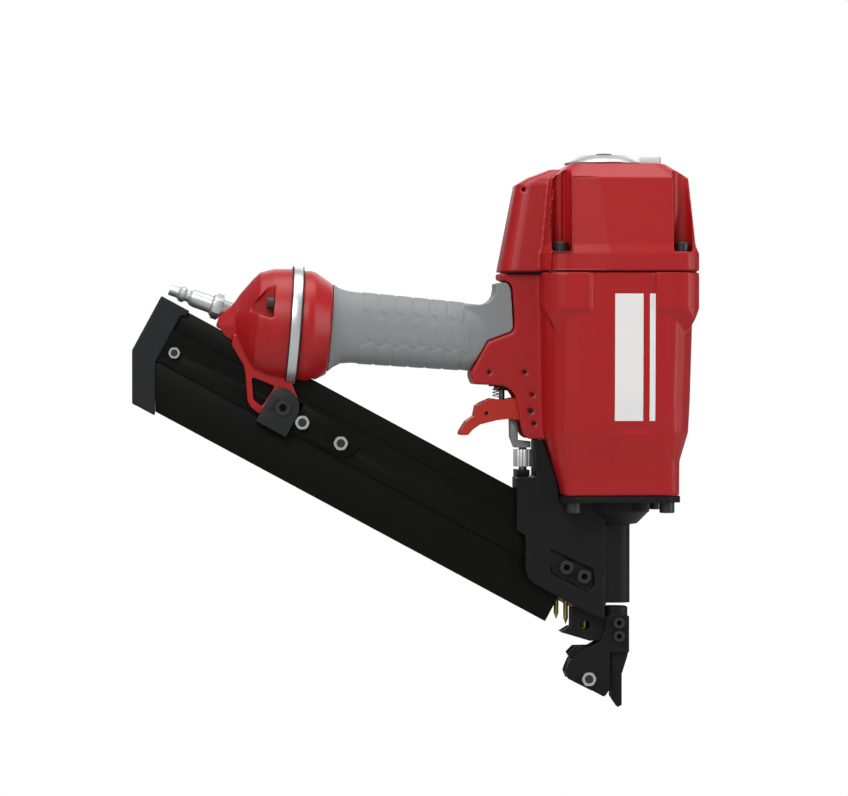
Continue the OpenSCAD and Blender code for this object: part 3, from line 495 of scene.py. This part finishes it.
machined("probe_blade_cut", ["probe_blade"], DARK_STEEL, "contact", bevel_mm=0.3)
machined("trigger_lever_cut", ["trigger_lever"], BARE_STEEL, "trigger_lever", bevel_mm=0.2)
machined("pusher_cut", ["pusher"], BARE_STEEL, "pusher", bevel_mm=0.4)
machined("pusher_knob_moulded", ["pusher_knob"], PLASTIC_BLACK, "pusher", bevel_mm=0.8)
machined("arm_screws_turned", ["arm_screws"], OXIDE, bevel_mm=0.4)
machined("trigger_valve_moulded", ["trigger_valve"], PLASTIC_BLACK, bevel_mm=0.3)

# %% [markdown]
# ## Seals and the printed mark
# A thin rubber seal shows on either side of the bright ring. Each is a short band turned round the
# handle's axis. The near face of the housing carries a plain white print: a broad stripe and a thin
# one. The print is a thin skin laid on the housing.


# %% Seals
def turned(name, profile, place, material, spokes=144):
    """A piece turned about its own X axis from a closed profile of (x, radius) in mm."""
    shape = bmesh.new()
    rings = []
    for a in (2 * math.pi * i / spokes for i in range(spokes)):
        spots = [Vector((x, -r * math.sin(a), r * math.cos(a))) * MM for x, r in profile]
        rings.append([shape.verts.new(place @ spot) for spot in spots])
    for i in range(spokes):
        one, two = rings[i], rings[(i + 1) % spokes]
        for j in range(len(profile)):
            k = (j + 1) % len(profile)
            shape.faces.new((one[j], one[k], two[k], two[j]))
    bmesh.ops.recalc_face_normals(shape, faces=shape.faces)
    mesh = bpy.data.meshes.new(name)
    shape.to_mesh(mesh)
    shape.free()
    piece = to_object(name, mesh, material)
    shade(mesh)
    return seat(piece, [])


for label, x in (("rear", -4.2), ("front", 3.2)):
    profile = [(x, 41.0), (x + 1.0, 41.0), (x + 1.0, 44.7), (x + 0.7, 44.95), (x + 0.3, 44.95), (x, 44.7)]
    turned("bell_seal_" + label, profile, HANDLE, SEAL)

# %% Printed mark
# Each stripe's left and right edge, and the foot and head of them all, in mm.
STRIPES = [(-6.0, 15.0), (19.8, 24.0)]
STRIPE_FOOT, STRIPE_HEAD = 216.0, 310.0


def print_skin(name, boxes, rise_mm=0.12, grid_mm=1.5):
    """A thin skin over rectangles (x0, x1, z0, z1) in mm, laid on the near face of the housing."""
    graph = bpy.context.evaluated_depsgraph_get()
    target = housing.evaluated_get(graph)
    shape = bmesh.new()
    for x0, x1, z0, z1 in boxes:
        nx, nz = max(1, round((x1 - x0) / grid_mm)), max(1, round((z1 - z0) / grid_mm))
        rows = []
        for j in range(nz + 1):
            row = []
            for i in range(nx + 1):
                x, z = x0 + (x1 - x0) * i / nx, z0 + (z1 - z0) * j / nz
                _, spot, normal, _ = target.ray_cast(Vector((x, -80, z)) * MM, Vector((0, 1, 0)))
                row.append(shape.verts.new(spot + normal * rise_mm * MM))
            rows.append(row)
        for a, b in zip(rows, rows[1:]):
            for i in range(nx):
                shape.faces.new((a[i], a[i + 1], b[i + 1], b[i]))
    mesh = bpy.data.meshes.new(name)
    shape.to_mesh(mesh)
    shape.free()
    piece = to_object(name, mesh, WHITE_INK)
    mesh.shade_smooth()
    return seat(piece, [])


print_skin("white_print", [(left, right, STRIPE_FOOT, STRIPE_HEAD) for left, right in STRIPES])

# %% [markdown]
# ## Screws, nuts and nails
# Fasteners repeat, so a Geometry Nodes tree makes one and places it on points. Each point carries
# a `turn`, the rotation that lays the fastener on its face. The socket screw is a cylinder with a
# chamfered top and a hex key hole cut by a boolean; the nut is a chamfered hex with a bolt end.


# %% Geometry Nodes for fasteners
def new_tree(name, inputs):
    """A geometry tree with named number inputs, and its group input node."""
    tree = bpy.data.node_groups.new(name, "GeometryNodeTree")
    tree.interface.new_socket("Geometry", in_out="INPUT", socket_type="NodeSocketGeometry")
    for label, value in inputs.items():
        tree.interface.new_socket(label, in_out="INPUT", socket_type="NodeSocketFloat").default_value = value
    tree.interface.new_socket("Material", in_out="INPUT", socket_type="NodeSocketMaterial")
    tree.interface.new_socket("Geometry", in_out="OUTPUT", socket_type="NodeSocketGeometry")
    return tree, add(tree, "NodeGroupInput")


def moved(tree, geometry, z):
    """Lifts a geometry along Z by a value or an output."""
    lift = add(tree, "ShaderNodeCombineXYZ", {"Z": z})
    lifted = add(tree, "GeometryNodeTransform", {"Geometry": geometry, "Translation": lift.outputs[0]})
    return lifted.outputs[0]


def maths(tree, how, a, b):
    return add(tree, "ShaderNodeMath", {0: a, 1: b}, operation=how).outputs[0]


def close_tree(tree, start, parts, dark=None, dark_finish=OXIDE):
    """Joins the parts, puts them on the points, and ends with real geometry and a material."""
    join = add(tree, "GeometryNodeJoinGeometry")
    for part in parts:
        tree.links.new(part, join.inputs[0])
    if dark:
        pair = add(tree, "GeometryNodeJoinGeometry")
        for part, finish_of_it in ((join.outputs[0], start.outputs["Material"]), (dark, dark_finish)):
            painted = add(tree, "GeometryNodeSetMaterial", {"Geometry": part, "Material": finish_of_it})
            tree.links.new(painted.outputs[0], pair.inputs[0])
        join = pair
    turn = add(tree, "GeometryNodeInputNamedAttribute", {"Name": "turn"}, data_type="FLOAT_VECTOR")
    angle = add(tree, "FunctionNodeEulerToRotation", {0: turn.outputs[0]})
    placed = add(tree, "GeometryNodeInstanceOnPoints", {
        "Points": start.outputs["Geometry"], "Instance": join.outputs[0], "Rotation": angle.outputs[0]})
    real = add(tree, "GeometryNodeRealizeInstances", {"Geometry": placed.outputs[0]})
    made = real if dark else add(tree, "GeometryNodeSetMaterial", {
        "Geometry": real.outputs[0], "Material": start.outputs["Material"]})
    add(tree, "NodeGroupOutput", {"Geometry": made.outputs[0]})
    return tree


def barrel(tree, radius, depth, z, sides=48, top=None):
    """A cylinder, or a cone where top is given, that stands from z upwards."""
    made = add(tree, "GeometryNodeMeshCone", {
        "Vertices": sides, "Radius Top": top if top is not None else radius, "Radius Bottom": radius,
        "Depth": depth})
    return moved(tree, made.outputs["Mesh"], z)


def screw_tree():
    tree, start = new_tree("socket screw", {"Head radius": 0.005, "Head height": 0.005, "Key": 0.0025})
    radius, height, key = (start.outputs[n] for n in ("Head radius", "Head height", "Key"))
    chamfer = maths(tree, "MULTIPLY", radius, 0.09)
    body = barrel(tree, radius, maths(tree, "SUBTRACT", height, chamfer), 0.0)
    crown = barrel(tree, radius, chamfer, maths(tree, "SUBTRACT", height, chamfer),
                   top=maths(tree, "SUBTRACT", radius, chamfer))
    hole = barrel(tree, key, height, maths(tree, "MULTIPLY", height, 0.45), sides=6)
    whole = add(tree, "GeometryNodeMeshBoolean", operation="UNION", solver="EXACT")
    tree.links.new(body, whole.inputs["Mesh 2"])
    tree.links.new(crown, whole.inputs["Mesh 2"])
    cut_hole = add(tree, "GeometryNodeMeshBoolean", {"Mesh 1": whole.outputs[0], "Mesh 2": hole},
                   operation="DIFFERENCE", solver="EXACT")
    # A near-black disc on the key hole's floor: painted shade for the shadowed recess.
    shade_disc = barrel(tree, maths(tree, "MULTIPLY", key, 0.99), maths(tree, "MULTIPLY", height, 0.03),
                   maths(tree, "MULTIPLY", height, 0.46), sides=6)
    return close_tree(tree, start, [cut_hole.outputs[0]], dark=shade_disc, dark_finish=KEYHOLE_SHADE)


def nut_tree():
    tree, start = new_tree("hex nut", {"Across corners": 0.0058, "Height": 0.005, "Bolt radius": 0.003,
                                       "Bolt height": 0.0065})
    corner, height, bolt, reach = (start.outputs[n] for n in ("Across corners", "Height", "Bolt radius",
                                                              "Bolt height"))
    prism = barrel(tree, corner, height, 0.0, sides=6)
    cone = barrel(tree, maths(tree, "MULTIPLY", corner, 1.14), height, 0.0,
                  top=maths(tree, "MULTIPLY", corner, 0.9))
    crowned = add(tree, "GeometryNodeMeshBoolean", operation="INTERSECT", solver="EXACT")
    tree.links.new(prism, crowned.inputs["Mesh 2"])
    tree.links.new(cone, crowned.inputs["Mesh 2"])
    hole = barrel(tree, maths(tree, "MULTIPLY", bolt, 1.1), maths(tree, "MULTIPLY", height, 3.0),
                  maths(tree, "MULTIPLY", height, -1.0))
    opened = add(tree, "GeometryNodeMeshBoolean", {"Mesh 1": crowned.outputs[0], "Mesh 2": hole},
                 operation="DIFFERENCE", solver="EXACT")
    stud = barrel(tree, bolt, reach, 0.0)
    return close_tree(tree, start, [opened.outputs[0]], dark=stud)


def nail_tree():
    tree, start = new_tree("nail", {"Shank radius": 0.00185, "Head radius": 0.0035, "Length": 0.0635})
    shank, head, length = (start.outputs[n] for n in ("Shank radius", "Head radius", "Length"))
    point = barrel(tree, 0.0002, 0.0045, 0.0, sides=16, top=shank)
    rod = barrel(tree, shank, maths(tree, "SUBTRACT", length, 0.006), 0.0045, sides=16)
    disc = barrel(tree, head, 0.0015, maths(tree, "SUBTRACT", length, 0.0015), sides=24)
    return close_tree(tree, start, [point, rod, disc])


SCREW, NUT, NAIL = screw_tree(), nut_tree(), nail_tree()
print("trees:", SCREW.name, NUT.name, NAIL.name)


# %% Fasteners on points
def on_points(name, tree, spots, material, nodes, slot, body="root", flat=30, **values):
    """A plain mesh of the tree's piece on each spot, a spot being a place in mm and a turn."""
    points = bpy.data.meshes.new(name)
    points.from_pydata([Vector(place) * MM for place, turn in spots], [], [])
    turns = points.attributes.new("turn", "FLOAT_VECTOR", "POINT")
    for item, (place, turn) in zip(turns.data, spots):
        item.vector = turn
    piece = bpy.data.objects.new(name, points)
    bpy.context.scene.collection.objects.link(piece)
    grow = piece.modifiers.new("grow", "NODES")
    grow.node_group = tree
    for item in tree.interface.items_tree:
        if item.in_out == "INPUT" and item.name in values:
            grow[item.identifier] = values[item.name]
        if item.in_out == "INPUT" and item.name == "Material":
            grow[item.identifier] = material
    baked(piece)
    for extra in [a.name for a in piece.data.attributes if a.name == "turn"]:
        piece.data.attributes.remove(piece.data.attributes[extra])
    shade(piece.data, flat)
    return seat(piece, nodes, body)


UP, DOWN = (0, 0, 0), (math.pi, 0, 0)
NEAR, FAR = (math.pi / 2, 0, 0), (-math.pi / 2, 0, 0)


def both_sides(x, z, out):
    return [((x, -out, z), NEAR), ((x, out, z), FAR)]


corners = [(x, y) for x in (-45, 45) for y in (-43, 43)]
on_points("cap_socket_screws", SCREW, [((x, y, 341.1), UP) for x, y in corners], OXIDE, ["cap_screws"],
          "black_screws", **{"Head radius": 0.0056, "Head height": 0.007, "Key": 0.0029})
feet = [(x, y) for x in (-34.5, 35.5) for y in (-33, 33)]
on_points("base_socket_screws", SCREW, [((x, y, 154.8), DOWN) for x, y in feet], OXIDE, ["base_screws"],
          "black_screws", **{"Head radius": 0.0056, "Head height": 0.0076, "Key": 0.0029})
cheeks = both_sides(-38.1, 106.1, 16.5) + both_sides(-24.9, 99.2, 16.5)
on_points("cheek_socket_screws", SCREW, cheeks, OXIDE, ["cheek_screws"], "black_screws",
          **{"Head radius": 0.0052, "Head height": 0.005, "Key": 0.0026})
probes = [((2, -12, z), NEAR) for z in (54, 64)] + [((2, 22, z), FAR) for z in (54, 64)]
on_points("probe_socket_screws", SCREW, probes, OXIDE, ["probe_screws"], "black_screws", "contact",
          **{"Head radius": 0.0043, "Head height": 0.004, "Key": 0.0021})

# %% Nuts and nails
MAGAZINE = Matrix.Translation((-0.0535, 0, 0.0654)) @ Matrix.Rotation(MAG_TILT, 4, "Y")


def in_magazine(u, w, out, far=False):
    """A fastener's spot on the magazine's near or far side, from its own length and height."""
    place = MAGAZINE @ (Vector((u, out if far else -out, w)) * MM)
    return (tuple(place / MM), FAR if far else NEAR)


strap_spots = [in_magazine(u, 44.6, 15.5, far) for u in (-231, -198.5) for far in (False, True)]
ear_spots = [in_magazine(-249, 47.5, 21.4, far) for far in (False, True)]
m6 = {"Across corners": 0.00577, "Height": 0.0052, "Bolt radius": 0.0029, "Bolt height": 0.0044}
m5 = {"Across corners": 0.00462, "Height": 0.004, "Bolt radius": 0.0024, "Bolt height": 0.0034}
on_points("strap_hex_nuts", NUT, strap_spots, ZINC, ["strap_fasteners"], "zinc", **m6)
on_points("ear_pivot_bolts", SCREW, ear_spots, OXIDE, [], "black_screws",
          **{"Head radius": 0.006, "Head height": 0.0026, "Key": 0.0031})
on_points("jaw_hex_nut", NUT, [((-20.8, -12, 22.1), NEAR)], ZINC, ["jaw_nut"], "zinc", "contact", **m6)
on_points("end_cap_hex_nut", NUT, [in_magazine(-339, 45, 13.2)], ZINC, ["end_cap_nut"], "zinc", **m5)

PITCH, COUNT = 7.2, 29
FIRST_X, FIRST_Z = -7.9, 46.8
row = [((FIRST_X - k * PITCH, 0, FIRST_Z + k * PITCH * math.tan(MAG_TILT)), UP) for k in range(COUNT)]
on_points("nail_strip", NAIL, row, NAIL_GOLD, ["nails"], "brass")

# %% [markdown]
# ## Coil springs
# A spring is wire wound on a helix. One tree winds a spiral curve and sweeps a round wire along it,
# with the coil's sizes as inputs.


# %% Springs
def spring_tree():
    tree, start = new_tree("coil spring", {"Coil radius": 0.002, "Wire radius": 0.00045, "Height": 0.014,
                                           "Turns": 6.0})
    coil, wire, height, turns = (start.outputs[n] for n in ("Coil radius", "Wire radius", "Height", "Turns"))
    helix = add(tree, "GeometryNodeCurveSpiral", {
        "Resolution": 32, "Rotations": turns, "Start Radius": coil, "End Radius": coil, "Height": height})
    section = add(tree, "GeometryNodeCurvePrimitiveCircle", {"Resolution": 12, "Radius": wire})
    swept = add(tree, "GeometryNodeCurveToMesh", {
        "Curve": helix.outputs[0], "Profile Curve": section.outputs[0], "Fill Caps": True})
    return close_tree(tree, start, [swept.outputs[0]])


SPRING = spring_tree()


def spring(name, node, foot, coil, wire, height, turns):
    """A coil spring on its foot in mm, which loses the travel at the joint's limit."""
    piece = on_points(name, SPRING, [(foot, UP)], ZINC, [node], "zinc", flat=80,
                      **{"Coil radius": coil * MM, "Wire radius": wire * MM, "Height": height * MM,
                         "Turns": float(turns)})
    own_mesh(piece)


spring("contact_coil_spring", "contact_spring", (-14.5, 21.4, 117.2), 2.0, 0.45, 14.16, 6)
spring("trigger_coil_spring", "trigger_spring", (-90.4, -10.8, 233.2), 2.2, 0.45, 6.9, 3)
spring("head_valve_coil_spring", "head_valve_spring", (0, 0, 347.1), 29, 1.3, 18.6, 3)

# %% [markdown]
# ## Pieces that keep their CAD shape
# Inner pieces and small pins are right as they are. They only take a finish.

# %% Finishes on the CAD pieces
KEPT = {
    ZINC: ["feed_spring"],
    OXIDE: ["bell_screws", "jaw_bolt", "end_cap_bolt"],
    DARK_STEEL: ["trigger_pivot_pin", "valve_pins", "lever_pin"],
    BARE_STEEL: ["driver_rod", "nose_barrel", "valve_stem", "magazine_liner"],
    BRIGHT_ALLOY: ["piston", "cylinder_sleeve"],
    SPOUT_PALE: ["head_valve"],
    SEAL: ["cap_gasket", "exhaust_seal", "sleeve_rings", "piston_ring", "bumper"],
    PAPER: ["paper_tape"],
}
for material, names in KEPT.items():
    for name in names:
        mesh = NODES[name].data
        mesh.materials.clear()
        mesh.materials.append(material)
print("CAD pieces finished:", sum(len(v) for v in KEPT.values()))

# %% [markdown]
# ## Studio
# The floor and the surroundings are plain white. Big soft lamps stand above and to the left, so
# each red face carries one broad highlight, and the blacks stay deep.

# %% Floor, world and lamps
floor_mesh = bpy.data.meshes.new("floor")
reach, floor_z = 6.0, -0.0004
corners_of_floor = [(x, y, floor_z) for x, y in ((-reach, -reach), (reach, -reach), (reach, reach),
                                                 (-reach, reach))]
floor_mesh.from_pydata(corners_of_floor, [], [(0, 1, 2, 3)])
FLOOR = finish("white studio floor", "B8B8B8", "BEBEBE", 0.9, grain_mm=4, bump=0.0)
inside = FLOOR.node_tree
glow = add(inside, "ShaderNodeEmission", {"Color": (1, 1, 1, 1), "Strength": 1.0})
seen = add(inside, "ShaderNodeLightPath").outputs["Is Camera Ray"]
matt = next(n for n in inside.nodes if n.type == "BSDF_PRINCIPLED").outputs["BSDF"]
both = add(inside, "ShaderNodeMixShader", {0: seen, 1: matt, 2: glow.outputs[0]})
out = next(n for n in inside.nodes if n.type == "OUTPUT_MATERIAL")
inside.links.new(both.outputs[0], out.inputs["Surface"])
floor = to_object("floor", floor_mesh, FLOOR)

# The surroundings look white, and light the tool at this share of that.
FILL_LIGHT = 0.24
world = bpy.data.worlds.new("studio")
bpy.context.scene.world = world
world.use_nodes = True
sky = world.node_tree
sky.nodes.clear()
path = add(sky, "ShaderNodeLightPath")
strength = add(sky, "ShaderNodeMapRange", {
    "Value": path.outputs["Is Camera Ray"], "To Min": FILL_LIGHT, "To Max": 1.0})
backdrop = add(sky, "ShaderNodeBackground", {"Color": (1, 1, 1, 1), "Strength": strength.outputs["Result"]})
add(sky, "ShaderNodeOutputWorld", {"Surface": backdrop.outputs["Background"]})


def lamp(name, place, aim, size, watts):
    data = bpy.data.lights.new(name, "AREA")
    data.shape, data.size, data.size_y, data.energy = "RECTANGLE", size[0], size[1], watts
    light = bpy.data.objects.new(name, data)
    bpy.context.scene.collection.objects.link(light)
    light.location = place
    light.rotation_euler = (Vector(aim) - Vector(place)).to_track_quat("-Z", "Y").to_euler()


CENTRE = (-0.1, 0, 0.22)
lamp("key", (-0.9, -1.5, 1.5), CENTRE, (1.2, 0.9), 26)
lamp("front card", (-0.4, -3.2, 0.5), CENTRE, (3.4, 2.2), 7)
lamp("top", (-0.1, 0.0, 1.8), CENTRE, (1.6, 1.0), 18)
lamp("right strip", (1.3, -0.7, 0.6), CENTRE, (0.25, 1.2), 9)
lamp("back", (0.2, 1.6, 1.0), CENTRE, (1.6, 1.0), 8)
bpy.context.scene.view_settings.view_transform = "Standard"
bpy.context.scene.view_settings.look = "None"
print("studio ready")
